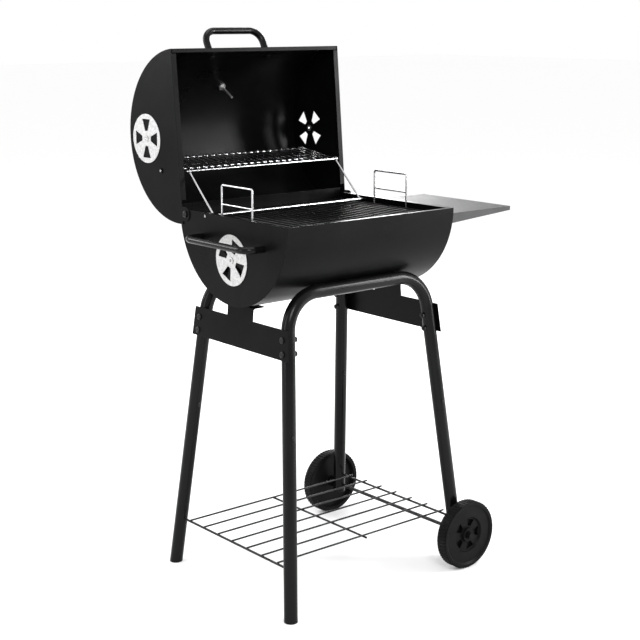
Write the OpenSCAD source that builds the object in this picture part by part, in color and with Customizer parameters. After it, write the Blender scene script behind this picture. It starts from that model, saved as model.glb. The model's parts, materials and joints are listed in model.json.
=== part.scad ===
/* [Barrel] */
// Outer radius of the barrel
barrel_r = 180; // [160:1:200]
// Length of the lower half of the barrel over its end panels
barrel_len = 445; // [400:1:480]
// Height of the barrel's axis above the floor
axis_z = 788; // [770:1:820]
// Thickness of the sheet steel
sheet = 1.2; // [1:0.1:1.5]
// Angle that the lid turns back from closed, as drawn
lid_open = 95; // [90:1:95]
// Depth of the lid's hinge behind the axis
hinge_y = 159; // [158:1:160]
// Drop of the lid's hinge below the axis
hinge_drop = 10; // [9:0.5:11]

/* [Vents] */
// Radius of a vent damper
damper_r = 52; // [45:1:52]
// Height of the lid's vents above the axis
lid_vent_rise = 114.6; // [105:0.1:116]
// Drop of the body's vents below the axis
body_vent_drop = 86; // [80:1:95]

/* [Lid fittings] */
// Angle of the lid handle above the front of the closed lid
handle_angle = 22.5; // [15:0.5:30]
// Distance between the handle's feet
handle_span = 152; // [140:2:180]
// Angle of the thermometer above the front of the closed lid
gauge_angle = 54; // [45:1:65]
// Outer radius of the thermometer
gauge_r = 26; // [22:1:32]

/* [Stand] */
// Outer radius of the leg tubes
tube_r = 14; // [12:0.5:15]
// Distance of a foot from the middle along the barrel
foot_x = 238; // [232:1:245]
// Distance of a foot from the middle across the barrel
foot_y = 204; // [190:1:215]
// Distance of the cradle bars from the middle
bar_y = 131; // [120:1:135]
// Lean of the legs within each frame
splay = 4.8; // [4.4:0.1:5.4]
// Centre-line radius of the frame's bends
bend_r = 78; // [60:1:85]
// Radius of the wheels
wheel_r = 75; // [70:1:80]
// Width of a wheel
wheel_w = 26; // [24:1:30]

/* [Shelves] */
// Height of the side shelf's top
side_shelf_z = 768; // [764:1:770]
// Reach of the side shelf from the body's end
side_shelf_reach = 222; // [180:1:240]
// Length of the side shelf across the barrel
side_shelf_w = 274; // [240:2:274]
// Height of the bottom shelf's wires
bottom_shelf_z = 103; // [98:1:130]

/* [Hidden] */

// Curve resolution for shown previews
$fn = 48;
// Colours
paint = [0.14, 0.14, 0.14];
tube_paint = [0.17, 0.17, 0.17];
zinc = [0.85, 0.85, 0.84];
wire_chrome = [0.8, 0.8, 0.8];
wire_black = [0.2, 0.2, 0.2];
plastic = [0.1, 0.1, 0.1];

// Clearance between parts that only touch
gap = 0.1;
// Clearance between parts that move past each other
run_gap = 0.7;
// Radial clearance round a turning shaft
fit = 0.05;
barrel_in = barrel_r - sheet;
body_x = barrel_len / 2;
shell_x = body_x - sheet - gap;
lid_in_x = body_x + run_gap;
lid_out_x = lid_in_x + sheet;
flange_r = barrel_in - gap;
flange_depth = 12;
lip = 8;
// The body's rear wall reaches this far above the axis
rear_rise = 9.5;
rear_rise_angle = asin(rear_rise / barrel_r);
// The lid's rear edge starts this far up the closed circle
lid_trim = 3.9;
lid_lift = 0.4;
// The lid's skin stops this far up the circle, inside its stiffening lip
hem_turn = 0.32;
hinge_z = axis_z - hinge_drop;
hinge_bolt_r = 3;
ear_r = 15;

// Lid centre with the lid open
lid_cy = hinge_y - hinge_y * cos(lid_open) + hinge_drop * sin(lid_open);

// Lid handle
handle_r = 7.5;
handle_rise = 60;
handle_bend = 28;

// Thermometer, heights above the lid's surface
gauge_floor = 4;
gauge_top = 15;
gauge_wall = 2.5;
dial_z = 6.4;
lens_z = 11.4;
stem_thread_r = 4.8;
stem_in = 48;
spindle_r = 0.8;
needle_rest = 135;

// Side handle
side_handle_r = 7;
side_handle_rise = 42;
side_handle_span = 206;
side_handle_bend = 22;
side_handle_z = 738;
side_handle_out = side_handle_rise + side_handle_r;

// Wire grates
grate_z = 774;
grate_wire = 1.75;
grate_frame_wire = 2.5;
grate_x = 207;
grate_y = 165;
grate_pitch = 18;
loop_y = 51;
loop_top = 848;
loop_bar = 809;
loop_wire = 2;
charcoal_z = 672;
charcoal_x = 204;
charcoal_y = 128;

// Warming rack, with the lid open
rack_a = [177, 864];
rack_b = [91, 781];
rack_p = [rack_a[0] + hinge_y - rack_b[0], rack_a[1] + hinge_z - rack_b[1]];
rack_wire = 1.5;
rack_front_wire = 2;
rack_rod = 2.5;
rack_depth = 124;
rack_slope = 7;
rack_x = 193;
rack_pitch = 17.55;
rack_leg_x = 200;
rack_eye_in = 2.7;
rack_eye_wire = 2;
// The rack's pivot in the closed lid
rack_closed = [
    hinge_y + (rack_p[0] - hinge_y) * cos(lid_open) - (rack_p[1] - hinge_z) * sin(lid_open),
    hinge_z + (rack_p[0] - hinge_y) * sin(lid_open) + (rack_p[1] - hinge_z) * cos(lid_open)
];

// Stand
tube_wall = 1.2;
tube_in = tube_r - tube_wall;
bar_z = axis_z - sqrt(pow(barrel_r + tube_r + 0.3, 2) - pow(bar_y, 2));
tilt = atan((foot_y - bar_y) / bar_z);
plane_h = bar_z / cos(tilt);
bend_v = plane_h - bend_r;
bend_x = foot_x - bend_v * tan(splay) - bend_r / cos(splay);
bend_s = (bend_v + bend_r * sin(splay)) / cos(splay);
rise_scale = cos(tilt) * cos(splay);
seam_s = 350 / rise_scale;
screw_s = 368 / rise_scale;
// The drawn tube narrows by this much in its bends, and its straight runs reach this far into them
bend_draw = 0.08;
seam_lap = 1;
axle_z = wheel_r;
axle_s = axle_z / rise_scale;
axle_x = foot_x - axle_s * sin(splay);
axle_leg_y = foot_y - axle_z * tan(tilt);
axle_r = 4;
leg_end_s = axle_s - 17;
side_tilt = atan(sin(splay) / rise_scale);
wheel_in_y = axle_leg_y + tube_r + 5.2;
wheel_out_y = wheel_in_y + wheel_w;
axle_end_y = wheel_out_y + 4.5;
cap_t = 6;

// Brackets, in the leaning plane through the two legs of a side
bracket_t = 1.5;
bracket_top_z = 580;
bracket_low_z = 519;
bracket_post = 43;
bracket_bolt_z = [559, 531];
bracket_past = 18;
bracket_flange = 30;
bracket_flange_z = axis_z - barrel_r - 0.3;
bracket_post_x = foot_x + (tube_r + gap + bracket_t) / cos(side_tilt) - bracket_flange_z * tan(side_tilt);
barrel_bolt_x = bracket_post_x - 17;
barrel_bolt_y = 20;

// Side shelf
shelf_out_x = body_x + gap + side_shelf_reach;
shelf_bolts_y = [-118, -90, 90, 118];
shelf_bolt_z = side_shelf_z - 20;

// Bottom shelf
shelf_s = bottom_shelf_z / rise_scale;
shelf_leg_x = foot_x - shelf_s * sin(splay);
shelf_leg_y = foot_y - bottom_shelf_z * tan(tilt);
shelf_wire = 2;
shelf_bar = 2.6;
shelf_pitch = 51;
shelf_mid_x = 2;

// Whole object's box, to put the origin at the middle of its base
gauge_open = gauge_angle + lid_open;
gauge_back = gauge_r * sin(gauge_open) - (barrel_r + gauge_top) * cos(gauge_open);
box_back = lid_cy + max(barrel_r, gauge_back);
box_front = wheel_out_y + 0.4 + cap_t;
box_left = body_x + side_handle_out;
centre_x = (shelf_out_x - box_left) / 2;
centre_y = (box_back - box_front) / 2;

// ---- Placing ----

// From the barrel's own frame to the object's frame
module place() translate([-centre_x, -centre_y, 0]) children();

// The lid's parts, drawn closed, turned back to the open lid
module on_lid() {
    place() translate([0, hinge_y, hinge_z]) rotate([-lid_open, 0, 0])
        translate([0, -hinge_y, -hinge_z]) children();
}

// Local X, Y and Z become Y, Z and X
module along_x() rotate([90, 0, 90]) children();

// At an angle above the front of the closed lid, with Z pointing out of its surface
module on_lid_skin(angle) {
    on_lid() translate([0, 0, axis_z]) rotate([90 - angle, 0, 0])
        translate([0, 0, barrel_r]) children();
}

module both_sides() {
    children();
    mirror([1, 0, 0]) children();
}

module front_and_rear() {
    children();
    mirror([0, 1, 0]) children();
}

// In the leaning plane of the front (-1) or rear (1) leg frame
module in_frame(side) place() translate([0, side * foot_y, 0]) rotate([side * tilt, 0, 0]) children();

// Along the right leg of a frame, s up from the floor
module on_leg(s) translate([foot_x, 0, 0]) rotate([0, -splay, 0]) translate([0, 0, s]) children();

// In the leaning plane through the two legs of the left (-1) or right (1) side
module on_side(side) {
    place() mirror([side < 0 ? 1 : 0, 0, 0])
        translate([foot_x, 0, 0]) rotate([0, -side_tilt, 0]) children();
}

// ---- Shared shapes ----

module tube(r_out, r_in, h) {
    difference() {
        cylinder(r = r_out, h = h);
        translate([0, 0, -1]) cylinder(r = r_in, h = h + 2);
    }
}

module rod_x(x0, x1, r) translate([x0, 0, 0]) rotate([0, 90, 0]) cylinder(r = r, h = x1 - x0);
module rod_y(y0, y1, r) translate([0, y0, 0]) rotate([-90, 0, 0]) cylinder(r = r, h = y1 - y0);

// Round head with its flat side on z = 0, pointing up
module dome_head(r, h) {
    cylinder(r = r, h = h * 0.45);
    translate([0, 0, h * 0.45]) cylinder(r1 = r, r2 = r * 0.55, h = h * 0.55);
}

// Hexagonal nut with a true bore
module hex_nut(across, h, bore) {
    difference() {
        cylinder(r = across / sqrt(3), h = h, $fn = 6);
        translate([0, 0, -1]) cylinder(r = bore, h = h + 2);
    }
}

// Bar bent to an arch along X, standing on z = foot
module arch(span, rise, bend, r, foot) {
    both_sides() {
        translate([span / 2, 0, foot]) cylinder(r = r, h = rise - bend - foot);
        translate([span / 2 - bend, 0, rise - bend]) rotate([90, 0, 0])
            rotate_extrude(angle = 90) translate([bend, 0]) circle(r = r);
    }
    translate([0, 0, rise]) rod_x(bend - span / 2, span / 2 - bend, r);
}

// Four wedge openings of a vent
module vent_slots() {
    for (turn = [0 : 90 : 270])
        rotate(turn) polygon([[16, -5], [41, -15], [41, 15], [16, 5]]);
}

// Half-moon end panel in the YZ plane, above (1) or below (-1) the axis
module half_moon(half, base) {
    intersection() {
        circle(r = barrel_r);
        translate([-2 * barrel_r, half > 0 ? base : -2 * barrel_r]) square([4 * barrel_r, 2 * barrel_r]);
    }
}

// ---- Barrel ----

module body_shell() {
    color(paint) place() translate([0, 0, axis_z]) {
        difference() {
            along_x() rotate([0, 0, 180]) rotate_extrude(angle = 180 + rear_rise_angle)
                translate([barrel_in, -shell_x]) square([sheet, 2 * shell_x]);
            for (y = [-1, 1], side = [-1, 1])
                translate([side * barrel_bolt_x, y * barrel_bolt_y, -barrel_r - 9])
                    cylinder(r = 3 + fit, h = 20);
        }
        translate([-shell_x, -barrel_r + sheet / 2, -sheet]) cube([2 * shell_x, lip, sheet]);
    }
}

module body_end(side) {
    color(paint) place() difference() {
        union() {
            translate([side > 0 ? body_x - sheet : -body_x, 0, axis_z]) along_x()
                linear_extrude(sheet) half_moon(-1, 0);
            translate([0, 0, axis_z]) along_x() rotate([0, 0, 182]) rotate_extrude(angle = 176)
                translate([flange_r - sheet, side > 0 ? body_x - flange_depth : -body_x + sheet / 2])
                    square([sheet, flange_depth - sheet / 2]);
            translate([side > 0 ? body_x - flange_depth : -body_x + sheet / 2, -170, axis_z - sheet])
                cube([flange_depth - sheet / 2, 340, sheet]);
        }
        translate([-2 * body_x, hinge_y, hinge_z]) rod_x(0, 4 * body_x, hinge_bolt_r + fit);
        translate([-2 * body_x, rack_b[0], rack_b[1]]) rod_x(0, 4 * body_x, rack_rod + fit);
        translate([side * body_x - 10, 0, axis_z - body_vent_drop]) along_x() {
            rotate(45) linear_extrude(20) vent_slots();
            cylinder(r = 4 + fit, h = 20);
        }
        if (side < 0)
            for (y = [-1, 1]) translate([-body_x - 5, y * side_handle_span / 2, side_handle_z])
                rod_x(0, 10, 2.5 + fit);
        if (side > 0)
            for (y = shelf_bolts_y) translate([body_x - 5, y, shelf_bolt_z]) rod_x(0, 10, 2.5 + fit);
    }
}

module lid_shell() {
    color(paint) on_lid() translate([0, 0, axis_z]) difference() {
        union() {
            along_x() rotate([0, 0, lid_trim]) rotate_extrude(angle = 180 - lid_trim - hem_turn)
                translate([barrel_in, gap - lid_in_x]) square([sheet, 2 * (lid_in_x - gap)]);
            translate([-shell_x, -barrel_r + sheet / 4, lid_lift]) cube([2 * shell_x, lip, sheet]);
        }
        for (x = [-1, 1]) rotate([90 - handle_angle, 0, 0])
            translate([x * handle_span / 2, 0, barrel_r - 10]) cylinder(r = 3 + fit, h = 20);
        rotate([90 - gauge_angle, 0, 0]) translate([0, 0, barrel_r - 10])
            cylinder(r = stem_thread_r + fit, h = 20);
    }
}

module lid_end_outline() {
    half_moon(1, lid_lift);
    translate([hinge_y, -hinge_drop]) circle(r = ear_r);
    translate([hinge_y - ear_r, -hinge_drop]) square([2 * ear_r, hinge_drop + 1]);
}

module lid_end(side) {
    color(paint) on_lid() difference() {
        union() {
            translate([side > 0 ? lid_in_x : -lid_out_x, 0, axis_z]) along_x()
                linear_extrude(sheet) lid_end_outline();
            translate([0, 0, axis_z]) along_x() rotate([0, 0, 8]) rotate_extrude(angle = 170)
                translate([flange_r - sheet, side > 0 ? lid_out_x - flange_depth : -lid_out_x + sheet / 2])
                    square([sheet, flange_depth - sheet / 2]);
            translate([side > 0 ? lid_out_x - flange_depth : -lid_out_x + sheet / 2, -170, axis_z + lid_lift])
                cube([flange_depth - sheet / 2, 300, sheet]);
        }
        translate([-2 * body_x, hinge_y, hinge_z]) rod_x(0, 4 * body_x, hinge_bolt_r + fit);
        translate([-2 * body_x, rack_closed[0], rack_closed[1]]) rod_x(0, 4 * body_x, rack_rod + fit);
        translate([side * lid_out_x - 10, 0, axis_z + lid_vent_rise]) along_x() {
            rotate(45) linear_extrude(20) vent_slots();
            cylinder(r = 4 + fit, h = 20);
        }
    }
}

// ---- Hinge ----

module hinge_bolts() {
    color(zinc) place() both_sides() translate([0, hinge_y, hinge_z]) {
        rod_x(body_x - 12, lid_out_x + 1, hinge_bolt_r);
        translate([lid_out_x + 0.5, 0, 0]) rotate([0, 90, 0]) dome_head(7, 4);
    }
}

module hinge_nuts() {
    color(zinc) place() both_sides() translate([body_x - sheet - 0.2 - 5, hinge_y, hinge_z])
        rotate([0, 90, 0]) hex_nut(10, 5, hinge_bolt_r + fit);
}

// ---- Lid fittings ----

module lid_handle() {
    color(tube_paint) on_lid_skin(handle_angle) difference() {
        arch(handle_span, handle_rise, handle_bend, handle_r, 0.3);
        for (x = [-1, 1]) translate([x * handle_span / 2, 0, -1]) cylinder(r = 3 + fit, h = 17);
    }
}

module lid_handle_bolts() {
    color(zinc) on_lid_skin(handle_angle) both_sides() translate([handle_span / 2, 0, 0]) {
        translate([0, 0, -sheet - 1]) cylinder(r = 3, h = 14);
        translate([0, 0, -sheet - 0.2]) rotate([180, 0, 0]) dome_head(7, 3.5);
    }
}

module gauge_case() {
    color(zinc) on_lid_skin(gauge_angle) difference() {
        union() {
            translate([0, 0, gauge_floor]) cylinder(r = gauge_r, h = gauge_top - gauge_floor);
            translate([0, 0, 0.3]) cylinder(r = 9, h = gauge_floor);
        }
        translate([0, 0, gauge_floor + sheet]) cylinder(r = gauge_r - gauge_wall, h = 20);
        translate([0, 0, -1]) cylinder(r = stem_thread_r + fit, h = 20);
    }
}

module gauge_stem() {
    color(zinc) on_lid_skin(gauge_angle) {
        translate([0, 0, -9]) cylinder(r = stem_thread_r, h = 9 + gauge_floor + sheet);
        translate([0, 0, -stem_in]) cylinder(r = 2.4, h = stem_in - 8);
        cylinder(r = spindle_r, h = 9);
    }
}

module gauge_nut() {
    color(zinc) on_lid_skin(gauge_angle) translate([0, 0, -sheet - 0.3 - 5])
        hex_nut(15, 5, stem_thread_r + fit);
}

module gauge_dial() {
    color("white") on_lid_skin(gauge_angle) translate([0, 0, dial_z])
        tube(gauge_r - gauge_wall - gap, 1.6, 0.6);
}

module gauge_needle() {
    color("red") on_lid_skin(gauge_angle) translate([0, 0, dial_z + 1.1]) difference() {
        union() {
            cylinder(r = 2.6, h = 1.1);
            rotate(90 + needle_rest) translate([-6, -0.8, 0]) cube([23, 1.6, 0.8]);
        }
        translate([0, 0, -1]) cylinder(r = spindle_r + fit, h = 4);
    }
}

module gauge_lens() {
    color([0.9, 0.95, 1, 0.4]) on_lid_skin(gauge_angle) translate([0, 0, lens_z])
        cylinder(r = gauge_r - gauge_wall - gap, h = 1.6);
}

// ---- Vents ----

// Damper disc with its slots turned to an angle in the YZ plane
module damper(side, end_x, z, turn) {
    disc_x = side > 0 ? end_x + 0.4 : -end_x - 1.4;
    color(zinc) translate([disc_x, 0, z]) along_x() linear_extrude(1) difference() {
        circle(r = damper_r);
        rotate(turn) vent_slots();
        circle(r = 4 + fit);
    }
}

module damper_rivet(side, end_x, z) {
    color(zinc) translate([0, 0, z]) mirror([side < 0 ? 1 : 0, 0, 0]) difference() {
        union() {
            rod_x(end_x - sheet - 1.4, end_x + 1.8 + 1.2, 4);
            translate([end_x - sheet - 1.5, 0, 0]) rod_x(0, 1.3, 7);
            translate([end_x + 1.8, 0, 0]) rod_x(0, 1.3, 7);
        }
        rod_x(end_x - 20, end_x + 20, 2.8);
    }
}

module lid_damper_left() on_lid() damper(-1, lid_out_x, axis_z + lid_vent_rise, 5);
module lid_damper_right() on_lid() damper(1, lid_out_x, axis_z + lid_vent_rise, 45);
module body_damper_left() place() damper(-1, body_x, axis_z - body_vent_drop, 25);
module body_damper_right() place() damper(1, body_x, axis_z - body_vent_drop, 45);

module lid_damper_rivets() {
    for (side = [-1, 1]) on_lid() damper_rivet(side, lid_out_x, axis_z + lid_vent_rise);
}

module body_damper_rivets() {
    for (side = [-1, 1]) place() damper_rivet(side, body_x, axis_z - body_vent_drop);
}

// ---- Grates ----

module cooking_grate() {
    color(wire_black) place() translate([0, 0, grate_z]) {
        for (x = [-grate_x : grate_pitch : grate_x]) translate([x, 0, 0]) rod_y(-grate_y, grate_y, grate_wire);
        for (y = [-grate_y + 6, -grate_y / 3, grate_y / 3, grate_y - 6])
            translate([0, y, -grate_wire - grate_frame_wire + 0.5])
                rod_x(-grate_x - 2, grate_x + 2, grate_frame_wire);
    }
}

// Lifting loops of wire, hooked under the grate's end wires
module grate_loops() {
    foot = grate_wire - 0.3;
    color(wire_chrome) place() both_sides() translate([grate_x + 0.5, 0, grate_z]) rotate([0, 0, 90]) {
        arch(2 * loop_y, loop_top - grate_z, 5, loop_wire, foot);
        translate([0, 0, loop_bar - grate_z]) rod_x(-loop_y - 1, loop_y + 1, loop_wire - 0.4);
    }
}

// Angle strips on the end panels that carry the cooking grate
module grate_rests() {
    color(paint) place() both_sides() {
        translate([grate_x - 8, -grate_y + 12, grate_z - 9]) cube([body_x - sheet - gap - grate_x + 8, 240, sheet]);
        translate([body_x - 2 * sheet - gap, -grate_y + 12, grate_z - 19]) cube([sheet, 240, 10.5]);
    }
}

module charcoal_grate() {
    color(wire_black) place() translate([0, 0, charcoal_z]) {
        for (x = [-charcoal_x : 17 : charcoal_x]) translate([x, 0, 0]) rod_y(-charcoal_y, charcoal_y, 2);
        for (y = [-charcoal_y + 5, 0, charcoal_y - 5])
            translate([0, y, -3.9]) rod_x(-charcoal_x - 3, charcoal_x + 3, 2.5);
    }
}

// ---- Warming rack ----

module rack_plane() translate([0, rack_a[0], rack_a[1]]) rotate([rack_slope, 0, 0]) children();

module warming_rack() {
    color(wire_chrome) place() {
        rack_plane() {
            rod_x(-rack_x - 14, rack_x + 14, rack_front_wire);
            translate([0, 0, rack_front_wire + rack_wire - 0.4]) {
                for (x = [-rack_x : rack_pitch : rack_x + 1]) translate([x, 0, 0]) rod_y(-2, rack_depth, rack_wire);
            }
            translate([0, rack_depth - 3, 0]) rod_x(-rack_x - 3, rack_x + 3, rack_front_wire);
        }
        translate([0, rack_p[0], rack_p[1]]) {
            rod_x(-lid_out_x - 2.5, lid_out_x + 2.5, rack_rod);
            both_sides() translate([rack_x - 1, -5, -1.5]) cube([2, 10, 16.5]);
        }
    }
}

module rack_caps() {
    color(plastic) place() both_sides() translate([lid_out_x + 0.5, rack_p[0], rack_p[1]])
        rotate([0, 90, 0]) tube(5.5, rack_rod, 1.6);
}

// Wire frame that props the rack's front edge and turns in the body's end panels
module rack_support() {
    run = rack_a[0] - rack_b[0];
    rise = rack_a[1] - rack_b[1];
    reach = sqrt(run * run + rise * rise);
    color(wire_chrome) place() translate([0, rack_b[0], rack_b[1]]) {
        rod_x(-body_x, body_x, rack_rod);
        both_sides() translate([rack_leg_x, 0, 0]) rotate([-atan2(run, rise), 0, 0]) {
            cylinder(r = rack_front_wire, h = reach - rack_eye_in - rack_eye_wire + 0.5);
            translate([0, 0, reach]) along_x() rotate_extrude()
                translate([rack_eye_in + rack_eye_wire / 2, 0]) circle(r = rack_eye_wire / 2);
        }
    }
}

// ---- Side handle and side shelf ----

module side_handle() {
    color(tube_paint) place() translate([-body_x, 0, side_handle_z]) rotate([0, -90, 0]) rotate([0, 0, 90])
        difference() {
            arch(side_handle_span, side_handle_rise, side_handle_bend, side_handle_r, 0.1);
            for (x = [-1, 1]) translate([x * side_handle_span / 2, 0, -1]) cylinder(r = 2.5 + fit, h = 13);
        }
}

module side_handle_bolts() {
    color(zinc) place() for (y = [-1, 1])
        translate([-body_x, y * side_handle_span / 2, side_handle_z]) rotate([0, -90, 0]) {
            translate([0, 0, -sheet - 1]) cylinder(r = 2.5, h = 11);
            translate([0, 0, -sheet - 0.2]) rotate([180, 0, 0]) dome_head(5.5, 3);
        }
}

module side_shelf() {
    half = side_shelf_w / 2;
    inner_x = body_x + gap;
    color(paint) place() difference() {
        union() {
            translate([inner_x, -half, side_shelf_z - sheet]) cube([side_shelf_reach, side_shelf_w, sheet]);
            for (y = [-half, half - sheet]) translate([0, y + sheet, side_shelf_z]) rotate([90, 0, 0])
                linear_extrude(sheet) polygon([
                    [inner_x, 0], [shelf_out_x, 0], [shelf_out_x, -9], [inner_x, -24]
                ]);
            translate([shelf_out_x - sheet, -half, side_shelf_z - 9]) cube([sheet, side_shelf_w, 9]);
            translate([inner_x, -half, side_shelf_z - 12]) cube([sheet, side_shelf_w, 12]);
            front_and_rear() translate([inner_x, 76, side_shelf_z - 32]) cube([sheet, half - 76, 32]);
        }
        for (y = shelf_bolts_y) translate([body_x - 5, y, shelf_bolt_z]) rod_x(0, 10, 2.5 + fit);
    }
}

module side_shelf_bolts() {
    color(zinc) place() for (y = shelf_bolts_y) translate([0, y, shelf_bolt_z]) {
        rod_x(body_x - 9, body_x + sheet + 1, 2.5);
        translate([body_x + sheet + 0.3, 0, 0]) rotate([0, 90, 0]) dome_head(5.5, 3);
    }
}

module side_shelf_nuts() {
    color(zinc) place() for (y = shelf_bolts_y)
        translate([body_x - sheet - 0.2 - 4, y, shelf_bolt_z]) rotate([0, 90, 0]) hex_nut(8, 4, 2.5 + fit);
}

// ---- Stand ----

// Cross-holes of one side's bracket bolts, in the leaning side plane
module bracket_holes(r) {
    for (z = bracket_bolt_z, y = [-1, 1])
        translate([-60, y * (foot_y - z * tan(tilt)), z / cos(side_tilt)]) rod_x(0, 120, r);
}

module frame_path(r, start) {
    both_sides() {
        on_leg(start) cylinder(r = r, h = bend_s - start + seam_lap);
        translate([bend_x, 0, bend_v]) rotate([90, 0, 0]) rotate([0, 0, splay])
            rotate_extrude(angle = 90 - splay) translate([bend_r, 0]) circle(r = r - bend_draw);
    }
    translate([-bend_x - seam_lap, 0, plane_h]) rod_x(0, 2 * (bend_x + seam_lap), r);
}

module upper_frame(side) {
    color(tube_paint) difference() {
        in_frame(side) difference() {
            frame_path(tube_r, seam_s);
            frame_path(tube_in, seam_s - seam_lap);
            both_sides() on_leg(screw_s) rotate([90, 0, 0]) cylinder(r = 2 + fit, h = 30);
        }
        for (s = [-1, 1]) on_side(s) bracket_holes(hinge_bolt_r + fit);
    }
}

// Lower leg tube with the narrowed top that fits the upper frame
module lower_leg(side, end) {
    wheel_end = end > 0;
    color(tube_paint) difference() {
        in_frame(side) mirror([end < 0 ? 1 : 0, 0, 0]) difference() {
            union() {
                on_leg(wheel_end ? leg_end_s : -5) cylinder(r = tube_r, h = seam_s - gap - (wheel_end ? leg_end_s : -5));
                on_leg(seam_s - 20) cylinder(r = tube_in - gap, h = 60);
            }
            on_leg(-20) cylinder(r = tube_in - 1.3, h = seam_s + 80);
            on_leg(screw_s) rotate([90, 0, 0]) cylinder(r = 2 + fit, h = 30);
        }
        place() {
            if (!wheel_end) translate([-400, -400, -20]) cube([800, 800, 20.8]);
            translate([end * shelf_leg_x, side * (shelf_leg_y - 11), bottom_shelf_z])
                rod_y(-12, 12, shelf_bar + fit);
            if (wheel_end) translate([axle_x, 0, axle_z]) rod_y(-300, 300, axle_r + fit);
        }
    }
}

module leg_screws() {
    color(zinc) for (side = [-1, 1]) in_frame(side) both_sides() on_leg(screw_s) rotate([90, 0, 0]) {
        translate([0, 0, tube_r - 6]) cylinder(r = 2, h = 7);
        translate([0, 0, tube_r + 0.1]) dome_head(4.5, 2.4);
    }
}

// Plastic plugs with a flat foot in the ends of the two left legs
module foot_caps() {
    color(plastic) for (side = [-1, 1]) difference() {
        in_frame(side) mirror([1, 0, 0]) on_leg(-5) cylinder(r = tube_r, h = 30);
        place() translate([-400, -400, -20]) cube([800, 800, 20]);
        difference() {
            place() translate([-400, -400, 0.7]) cube([800, 800, 60]);
            in_frame(side) mirror([1, 0, 0]) on_leg(-10) cylinder(r = tube_in - 1.4, h = 80);
        }
    }
}

// ---- Brackets ----

module bracket(side) {
    low_y = foot_y - bracket_low_z * tan(tilt) + bracket_past;
    top_y = foot_y - bracket_top_z * tan(tilt) + bracket_past;
    low_w = bracket_low_z / cos(side_tilt);
    top_w = bracket_top_z / cos(side_tilt);
    post_w = (bracket_flange_z - bracket_t / 2 - (tube_r + gap + bracket_t) * sin(side_tilt)) / cos(side_tilt);
    color(paint) difference() {
        union() {
            on_side(side) translate([tube_r + gap, 0, 0]) along_x() linear_extrude(bracket_t) polygon([
                [-low_y, low_w], [low_y, low_w], [top_y, top_w], [bracket_post, top_w],
                [bracket_post, post_w], [-bracket_post, post_w], [-bracket_post, top_w], [-top_y, top_w]
            ]);
            place() mirror([side < 0 ? 1 : 0, 0, 0])
                translate([bracket_post_x - bracket_flange, -bracket_post, bracket_flange_z - bracket_t])
                    cube([bracket_flange, 2 * bracket_post, bracket_t]);
        }
        on_side(side) bracket_holes(hinge_bolt_r + fit);
        place() for (y = [-1, 1]) translate([side * barrel_bolt_x, y * barrel_bolt_y, bracket_flange_z - 10])
            cylinder(r = 3 + fit, h = 20);
    }
}

// Runs a part at each bracket bolt, with Z pointing out through the bracket
module at_bracket_bolts(n) {
    for (side = [-1, 1]) on_side(side) for (z = bracket_bolt_z, y = [-1, 1])
        translate([n, y * (foot_y - z * tan(tilt)), z / cos(side_tilt)]) rotate([0, 90, 0]) children();
}

module bracket_bolts() {
    grip = 2 * tube_r + bracket_t + 9;
    color(zinc) {
        at_bracket_bolts(-tube_r - 7) cylinder(r = 3, h = grip);
        at_bracket_bolts(tube_r + gap + bracket_t + 0.2) dome_head(6.5, 3.6);
    }
}

module bracket_nuts() {
    color(zinc) at_bracket_bolts(-tube_r - 5.3) hex_nut(10, 5, 3 + fit);
}

module at_barrel_bolts(z) {
    place() for (side = [-1, 1], y = [-1, 1])
        translate([side * barrel_bolt_x, y * barrel_bolt_y, z]) children();
}

module barrel_bolts() {
    color(zinc) {
        at_barrel_bolts(bracket_flange_z - 9) cylinder(r = 3, h = 15);
        at_barrel_bolts(bracket_flange_z + 4.6) dome_head(6, 3.4);
    }
}

module barrel_nuts() {
    color(zinc) at_barrel_bolts(bracket_flange_z - bracket_t - 5.2) hex_nut(10, 5, 3 + fit);
}

// ---- Bottom shelf ----

module bottom_shelf() {
    wire_lift = shelf_bar + shelf_wire - 0.5;
    color(wire_black) place() translate([0, 0, bottom_shelf_z]) {
        for (row = [-3 : 3]) translate([0, row * shelf_pitch, wire_lift])
            rod_x(-shelf_leg_x - 2, shelf_leg_x + 8, shelf_wire);
        both_sides() translate([shelf_leg_x, 0, 0]) rod_y(8 - shelf_leg_y, shelf_leg_y - 8, shelf_bar);
        translate([shelf_mid_x, 0, 0.3]) rod_y(-3 * shelf_pitch - 7, 3 * shelf_pitch + 7, shelf_bar - 0.3);
    }
}

// ---- Wheels ----

module axle() {
    color(wire_black) place() translate([axle_x, 0, axle_z]) rod_y(-axle_end_y, axle_end_y, axle_r);
}

// Wheel with its inner face on z = 0
module wheel() {
    teeth = 60;
    difference() {
        union() {
            rotate_extrude() polygon([
                [axle_r + fit, 0], [13, 0], [13, 10], [61, 10], [65, 0], [wheel_r - 2, 0],
                [wheel_r - 2, wheel_w], [67, wheel_w], [63, wheel_w - 3.5], [40, wheel_w - 3.5],
                [37, 18], [17, 18], [15, wheel_w - 2], [axle_r + fit, wheel_w - 2]
            ]);
            translate([0, 0, 2]) linear_extrude(wheel_w - 4) difference() {
                polygon([for (i = [0 : 4 * teeth - 1])
                    let (r = i % 4 < 2 ? wheel_r : wheel_r - 1.8, a = i * 90 / teeth) [r * cos(a), r * sin(a)]]);
                circle(r = wheel_r - 5);
            }
        }
        for (turn = [0 : 72 : 288]) rotate(turn) translate([0, 0, 11.6]) linear_extrude(20)
            polygon([[19, -5], [34, -11], [34, 11], [19, 5]]);
    }
}

module wheel_at(side) {
    color(plastic) place() translate([axle_x, side * wheel_in_y, axle_z]) rotate([-side * 90, 0, 0]) wheel();
}

module wheel_spacers() {
    color(zinc) place() front_and_rear() translate([axle_x, wheel_in_y - 3.3, axle_z])
        rotate([-90, 0, 0]) tube(6.5, axle_r + fit, 3);
}

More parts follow.
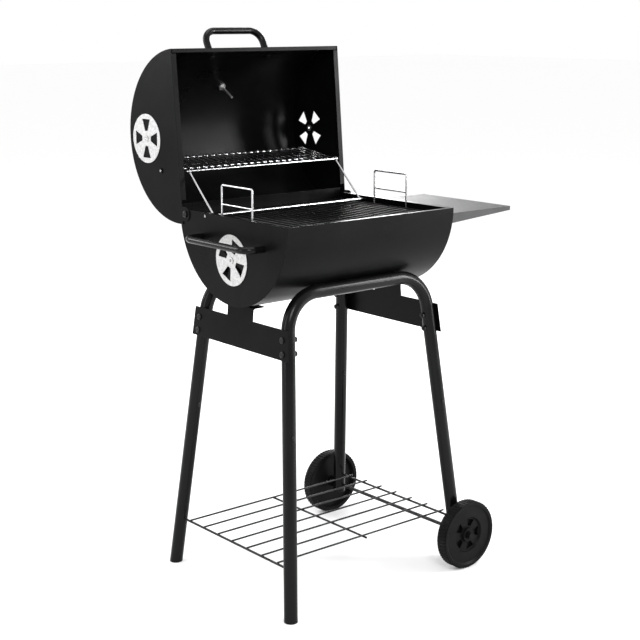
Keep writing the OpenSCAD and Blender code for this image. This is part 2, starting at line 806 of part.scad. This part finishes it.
module axle_caps() {
    color(plastic) place() front_and_rear() translate([axle_x, wheel_out_y + 0.4, axle_z])
        rotate([-90, 0, 0]) difference() {
            union() {
                cylinder(r = 9, h = 2);
                cylinder(r = 7, h = cap_t);
            }
            translate([0, 0, -1]) cylinder(r = axle_r, h = axle_end_y - wheel_out_y + 0.6);
        }
}

// ---- Nodes ----

body_shell();
body_end(-1);  // body_end_left
body_end(1);  // body_end_right
lid_shell();
lid_end(-1);  // lid_end_left
lid_end(1);  // lid_end_right
hinge_bolts();
hinge_nuts();
lid_handle();
lid_handle_bolts();
gauge_case();
gauge_dial();
gauge_needle();
gauge_lens();
gauge_stem();
gauge_nut();
lid_damper_left();
lid_damper_right();
body_damper_left();
body_damper_right();
lid_damper_rivets();
body_damper_rivets();
cooking_grate();
grate_loops();
grate_rests();
charcoal_grate();
warming_rack();
rack_caps();
rack_support();
side_handle();
side_handle_bolts();
side_shelf();
side_shelf_bolts();
side_shelf_nuts();
upper_frame(-1);  // upper_frame_front
upper_frame(1);  // upper_frame_rear
lower_leg(-1, -1);  // leg_front_left
lower_leg(-1, 1);  // leg_front_right
lower_leg(1, -1);  // leg_rear_left
lower_leg(1, 1);  // leg_rear_right
leg_screws();
foot_caps();
bracket(-1);  // bracket_left
bracket(1);  // bracket_right
bracket_bolts();
bracket_nuts();
barrel_bolts();
barrel_nuts();
bottom_shelf();
axle();
wheel_at(-1);  // wheel_front
wheel_at(1);  // wheel_rear
wheel_spacers();
axle_caps();
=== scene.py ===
import json
import math

import bpy
import bmesh
from mathutils import Matrix, Vector


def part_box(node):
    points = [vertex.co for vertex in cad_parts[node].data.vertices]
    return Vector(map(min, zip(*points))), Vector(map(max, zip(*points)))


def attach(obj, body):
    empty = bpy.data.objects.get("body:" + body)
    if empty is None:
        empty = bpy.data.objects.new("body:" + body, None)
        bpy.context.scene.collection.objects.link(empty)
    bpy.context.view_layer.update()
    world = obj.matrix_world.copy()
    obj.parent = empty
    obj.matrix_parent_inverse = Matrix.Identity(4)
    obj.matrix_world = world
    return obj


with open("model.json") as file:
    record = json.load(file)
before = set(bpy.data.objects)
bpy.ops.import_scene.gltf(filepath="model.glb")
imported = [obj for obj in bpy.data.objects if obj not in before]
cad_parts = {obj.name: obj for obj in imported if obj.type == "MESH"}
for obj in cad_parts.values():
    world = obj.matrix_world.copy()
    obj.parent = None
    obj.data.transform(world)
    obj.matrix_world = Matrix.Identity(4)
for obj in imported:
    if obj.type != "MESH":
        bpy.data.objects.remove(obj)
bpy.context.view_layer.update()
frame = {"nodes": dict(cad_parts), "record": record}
nodes = frame["nodes"]
slot_of = {s["node"]: s["material_slot"] for s in frame["record"]["subparts"]}


# ---- Node helpers (lengths in metres) ----

def tree(name):
    """A new material, with its node tree and Principled shader."""
    m = bpy.data.materials.new(name)
    m.use_nodes = True
    nt = m.node_tree
    return m, nt, nt.nodes["Principled BSDF"]


def object_coords(nt):
    return nt.nodes.new("ShaderNodeTexCoord").outputs["Object"]


def noise(nt, scale, detail, rough, coords):
    n = nt.nodes.new("ShaderNodeTexNoise")
    n.inputs["Scale"].default_value = scale
    n.inputs["Detail"].default_value = detail
    n.inputs["Roughness"].default_value = rough
    nt.links.new(coords, n.inputs["Vector"])
    return n.outputs["Fac"]


def multiply_add(nt, value, factor, addend):
    n = nt.nodes.new("ShaderNodeMath")
    n.operation = "MULTIPLY_ADD"
    nt.links.new(value, n.inputs[0])
    n.inputs[1].default_value = factor
    nt.links.new(addend, n.inputs[2])
    return n.outputs[0]


def ramp(nt, fac, a, b, lo=0.3, hi=0.7):
    """Maps lo..hi onto a..b."""
    r = nt.nodes.new("ShaderNodeMapRange")
    nt.links.new(fac, r.inputs["Value"])
    r.inputs["From Min"].default_value = lo
    r.inputs["From Max"].default_value = hi
    r.inputs["To Min"].default_value = a
    r.inputs["To Max"].default_value = b
    return r.outputs["Result"]


def mix(nt, fac, a, b):
    """Blends colour a into colour b."""
    m = nt.nodes.new("ShaderNodeMix")
    m.data_type = "RGBA"
    nt.links.new(fac, m.inputs["Factor"])
    m.inputs["A"].default_value = (*a, 1)
    m.inputs["B"].default_value = (*b, 1)
    return m.outputs["Result"]


def bump(nt, bsdf, height, strength, distance, edge=0.0):
    """Surface relief, over edges that look rounded by the radius edge."""
    b = nt.nodes.new("ShaderNodeBump")
    b.inputs["Strength"].default_value = strength
    b.inputs["Distance"].default_value = distance
    nt.links.new(height, b.inputs["Height"])
    if edge:
        e = nt.nodes.new("ShaderNodeBevel")
        e.samples = 4
        e.inputs["Radius"].default_value = edge
        nt.links.new(e.outputs["Normal"], b.inputs["Normal"])
    nt.links.new(b.outputs["Normal"], bsdf.inputs["Normal"])


# ---- Materials ----

def paint(name, dark, light, spec, rough, peel=0.14, peel_scale=520, edge=0.0008):
    """Satin powder coat: orange peel, clouds of sheen and a fine speckle."""
    m, nt, p = tree(name)
    co = object_coords(nt)
    cloud = noise(nt, 9, 4, 0.55, co)
    fine = noise(nt, 1400, 2, 0.6, co)
    speckle = multiply_add(nt, fine, 0.35, cloud)
    colour = mix(nt, ramp(nt, speckle, 0, 1, 0.45, 0.95), dark, light)
    nt.links.new(colour, p.inputs["Base Color"])
    nt.links.new(ramp(nt, cloud, rough - 0.05, rough + 0.07), p.inputs["Roughness"])
    p.inputs["Specular IOR Level"].default_value = spec
    bump(nt, p, noise(nt, peel_scale, 2, 0.45, co), peel, 0.0004, edge)
    return m


def metal(name, base, dark, rough, spread, scale, relief=0.06, edge=0.0006, spangle=False):
    """Bare or plated metal, cloudy or with the flat crystals of zinc."""
    m, nt, p = tree(name)
    co = object_coords(nt)
    if spangle:
        v = nt.nodes.new("ShaderNodeTexVoronoi")
        v.inputs["Scale"].default_value = scale
        nt.links.new(co, v.inputs["Vector"])
        sep = nt.nodes.new("ShaderNodeSeparateColor")
        nt.links.new(v.outputs["Color"], sep.inputs["Color"])
        fac = sep.outputs["Red"]
        lo, hi = 0.0, 1.0
    else:
        fac = noise(nt, scale, 4, 0.6, co)
        lo, hi = 0.3, 0.7
    nt.links.new(mix(nt, ramp(nt, fac, 0, 1, lo, hi), dark, base), p.inputs["Base Color"])
    nt.links.new(ramp(nt, fac, rough + spread, rough, lo, hi), p.inputs["Roughness"])
    p.inputs["Metallic"].default_value = 1.0
    bump(nt, p, noise(nt, scale * 3.1, 3, 0.6, co), relief, 0.0003, edge)
    return m


def plastic(name, dark, light, rough, grain, spec):
    """Moulded plastic with a fine grain."""
    m, nt, p = tree(name)
    co = object_coords(nt)
    g = noise(nt, grain, 3, 0.6, co)
    colour = mix(nt, ramp(nt, noise(nt, 30, 4, 0.6, co), 0, 1), dark, light)
    nt.links.new(colour, p.inputs["Base Color"])
    nt.links.new(ramp(nt, g, rough - 0.06, rough + 0.08), p.inputs["Roughness"])
    p.inputs["Specular IOR Level"].default_value = spec
    bump(nt, p, g, 0.16, 0.0003, 0.0007)
    return m


def dial_paint():
    m, nt, p = tree("dial_enamel")
    n = noise(nt, 600, 3, 0.6, object_coords(nt))
    colour = mix(nt, ramp(nt, n, 0, 1), (0.78, 0.77, 0.73), (0.86, 0.86, 0.83))
    nt.links.new(colour, p.inputs["Base Color"])
    p.inputs["Roughness"].default_value = 0.45
    bump(nt, p, n, 0.05, 0.0001)
    return m


def glass():
    m, nt, p = tree("lens_glass")
    p.inputs["Base Color"].default_value = (0.97, 0.99, 1, 1)
    p.inputs["Transmission Weight"].default_value = 1.0
    p.inputs["IOR"].default_value = 1.46
    haze = ramp(nt, noise(nt, 120, 4, 0.6, object_coords(nt)), 0.01, 0.05)
    nt.links.new(haze, p.inputs["Roughness"])
    return m


MATS = {
    "satin_black": paint(
        "satin_black", (0.0015, 0.0015, 0.0016), (0.0034, 0.0034, 0.0036), 0.055, 0.31),
    "tube_black": paint(
        "tube_black", (0.0018, 0.0018, 0.0019), (0.0038, 0.0038, 0.004), 0.13, 0.2, 0.08, 600),
    "black_wire": paint(
        "black_wire", (0.0045, 0.0045, 0.0047), (0.01, 0.01, 0.0103),
        0.14, 0.3, 0.1, 900, 0.0003),
    "shelf_grey": paint(
        "shelf_grey", (0.028, 0.028, 0.029), (0.06, 0.06, 0.062), 0.2, 0.5, 0.35, 1500),
    "black_zinc": metal(
        "black_zinc", (0.035, 0.035, 0.036), (0.016, 0.016, 0.017),
        0.36, 0.12, 300, 0.05, 0.0004),
    "needle_red": paint(
        "needle_red", (0.45, 0.012, 0.008), (0.55, 0.02, 0.012), 0.5, 0.3, 0.05, 900, 0.0002),
    "zinc": metal(
        "zinc", (0.6, 0.6, 0.596), (0.46, 0.46, 0.457), 0.4, 0.14, 260, 0.06, 0.0005, True),
    "chrome_wire": metal(
        "chrome_wire", (0.62, 0.62, 0.63), (0.44, 0.44, 0.45), 0.16, 0.14, 70, 0.03, 0.0003),
    "black_plastic": plastic(
        "black_plastic", (0.002, 0.002, 0.0021), (0.0045, 0.0045, 0.0047), 0.4, 900, 0.06),
    "dial_white": dial_paint(),
    "clear_glass": glass(),
}
for name, obj in nodes.items():
    mat = MATS[slot_of[name]]
    if not obj.material_slots:
        obj.data.materials.append(mat)
    for s in obj.material_slots:
        s.material = mat


# ---- Made pieces: the thermometer's printed scale ----

LID_OPEN_DEG = 95
GAUGE_DEG = 54  # the thermometer's tilt from the horizontal with the lid closed
PRINT_BASE = 0.00032  # heights above the dial's middle
PRINT_TOP = 0.0005
BAND_TOP = 0.00046
TICKS = 28
TICK_STEP_DEG = 10
FIRST_TICK_DEG = 225
TICK_HALF_WIDTH = 0.012  # radians
TICK_OUTER, LONG_TICK_INNER, SHORT_TICK_INNER = 0.0205, 0.0165, 0.0182
RING_INNER, RING_OUTER, RING_FROM_DEG, RING_TO_DEG = 0.0215, 0.0219, -50, 230
BAND_INNER, BAND_OUTER, BAND_FROM_DEG, BAND_TO_DEG = 0.0125, 0.0145, 45, 135


def mesh_object(name, bm, slot):
    """Turns bm into a piece that rides on the lid."""
    bmesh.ops.recalc_face_normals(bm, faces=bm.faces)
    me = bpy.data.meshes.new(name)
    bm.to_mesh(me)
    bm.free()
    o = bpy.data.objects.new(name, me)
    bpy.context.scene.collection.objects.link(o)
    me.materials.append(MATS[slot])
    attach(o, "lid")


def ring_sector(bm, m, r0, r1, a0, a1, z1, steps):
    """A flat curved band between two radii and two angles, in the frame of matrix m."""
    corners = ((r0, PRINT_BASE), (r1, PRINT_BASE), (r1, z1), (r0, z1))
    rows = []
    for i in range(steps + 1):
        a = a0 + (a1 - a0) * i / steps
        c, s = math.cos(a), math.sin(a)
        rows.append([bm.verts.new(m @ Vector((r * c, r * s, z))) for r, z in corners])
    for a, b in zip(rows, rows[1:]):
        for k in range(4):
            bm.faces.new((a[k], a[(k + 1) % 4], b[(k + 1) % 4], b[k]))
    bm.faces.new(rows[0][::-1])
    bm.faces.new(rows[-1])


def dial_matrix():
    """The dial's frame at rest: X along the barrel, Z out of the dial."""
    lo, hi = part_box("gauge_dial")
    mid = (Vector(lo) + Vector(hi)) / 2
    angle = math.radians(GAUGE_DEG + LID_OPEN_DEG)
    outward = Vector((0, -math.cos(angle), math.sin(angle)))
    across = Vector((1, 0, 0))
    upward = outward.cross(across)
    return Matrix((
        (across.x, upward.x, outward.x, mid.x),
        (across.y, upward.y, outward.y, mid.y),
        (across.z, upward.z, outward.z, mid.z),
        (0, 0, 0, 1),
    ))


dial_frame = dial_matrix()
bm = bmesh.new()
for i in range(TICKS):
    a = math.radians(FIRST_TICK_DEG - TICK_STEP_DEG * i)
    inner = LONG_TICK_INNER if i % 3 == 0 else SHORT_TICK_INNER
    ring_sector(bm, dial_frame, inner, TICK_OUTER,
                a - TICK_HALF_WIDTH, a + TICK_HALF_WIDTH, PRINT_TOP, 1)
ring_sector(bm, dial_frame, RING_INNER, RING_OUTER,
            math.radians(RING_FROM_DEG), math.radians(RING_TO_DEG), PRINT_TOP, 60)
mesh_object("dial_marks", bm, "satin_black")
bm = bmesh.new()
ring_sector(bm, dial_frame, BAND_INNER, BAND_OUTER,
            math.radians(BAND_FROM_DEG), math.radians(BAND_TO_DEG), BAND_TOP, 24)
mesh_object("dial_band", bm, "needle_red")


# ---- Floor, world and lights ----

# Painted shade: the floor's colour near the grill, darker than its colour far away.
FLOOR_PAINTED_SHADE = (0.78, 0.78, 0.78)
FLOOR_FAR = (0.98, 0.98, 0.98)
AIM = (0, 0, 0.6)
AIM_HIGH = (0, 0, 0.8)
SOFTBOXES = (  # name, place, aim, width, height, watts
    ("key", (-1.6, -2.6, 2.6), AIM, 1.2, 1.2, 62),
    ("strip_right", (2.2, -2.2, 1.5), AIM, 0.4, 2.2, 105),
    ("top", (0.2, 0.4, 3.2), AIM, 1.8, 1.4, 28),
    ("rim_left", (-1.8, 2.4, 2.0), AIM_HIGH, 0.5, 1.8, 38),
    ("rim_right", (2.0, 2.2, 1.6), AIM_HIGH, 0.5, 1.8, 36),
    ("side_left", (-2.9, 0.2, 1.3), AIM_HIGH, 0.5, 2.0, 22),
)


def floor_paint():
    """Pale floor with painted shade: slightly darker under the grill so that its shadow shows.
    """
    m, nt, p = tree("floor_white")
    co = object_coords(nt)
    far = nt.nodes.new("ShaderNodeVectorMath")
    far.operation = "LENGTH"
    nt.links.new(co, far.inputs[0])
    # Painted shade: the floor darkens towards the grill by distance, with a little cloud noise
    # on top.
    cloud = multiply_add(nt, noise(nt, 3, 3, 0.5, co), 0.15, far.outputs["Value"])
    colour = mix(nt, ramp(nt, cloud, 0, 1, 0.6, 2.6), FLOOR_PAINTED_SHADE, FLOOR_FAR)
    nt.links.new(colour, p.inputs["Base Color"])
    p.inputs["Roughness"].default_value = 0.9
    p.inputs["Specular IOR Level"].default_value = 0.1
    return m


def softbox(name, at, to, w, h, watts):
    d = bpy.data.lights.new(name, "AREA")
    d.shape = "RECTANGLE"
    d.size, d.size_y = w, h
    d.energy = watts
    o = bpy.data.objects.new(name, d)
    bpy.context.scene.collection.objects.link(o)
    o.location = at
    o.rotation_euler = (Vector(to) - Vector(at)).to_track_quat("-Z", "Y").to_euler()


bpy.ops.mesh.primitive_plane_add(size=60, location=(0, 0, -0.0006))
floor = bpy.context.object
floor.name = "floor"
floor.data.materials.append(floor_paint())

world = bpy.data.worlds.new("studio")
bpy.context.scene.world = world
world.use_nodes = True
background = world.node_tree.nodes["Background"]
background.inputs["Color"].default_value = (1, 1, 1, 1)
background.inputs["Strength"].default_value = 1.0

for row in SOFTBOXES:
    softbox(*row)

view = bpy.context.scene.view_settings
view.view_transform = "Standard"
view.look = "None"
view.exposure = 0.0


# ---- Camera ----

CAMERA_AT = (-1.87985, -2.21683, 1.1762)
LOOK_DOWN_DEG = 12.62
TURN_DEG = -39.84

cam_data = bpy.data.cameras.new("camera")
cam_data.lens = 75.9
cam_data.sensor_width = 36
cam = bpy.data.objects.new("camera", cam_data)
bpy.context.scene.collection.objects.link(cam)
cam.location = CAMERA_AT
cam.rotation_euler = (math.radians(90 - LOOK_DOWN_DEG), 0, math.radians(TURN_DEG))
bpy.context.scene.camera = cam
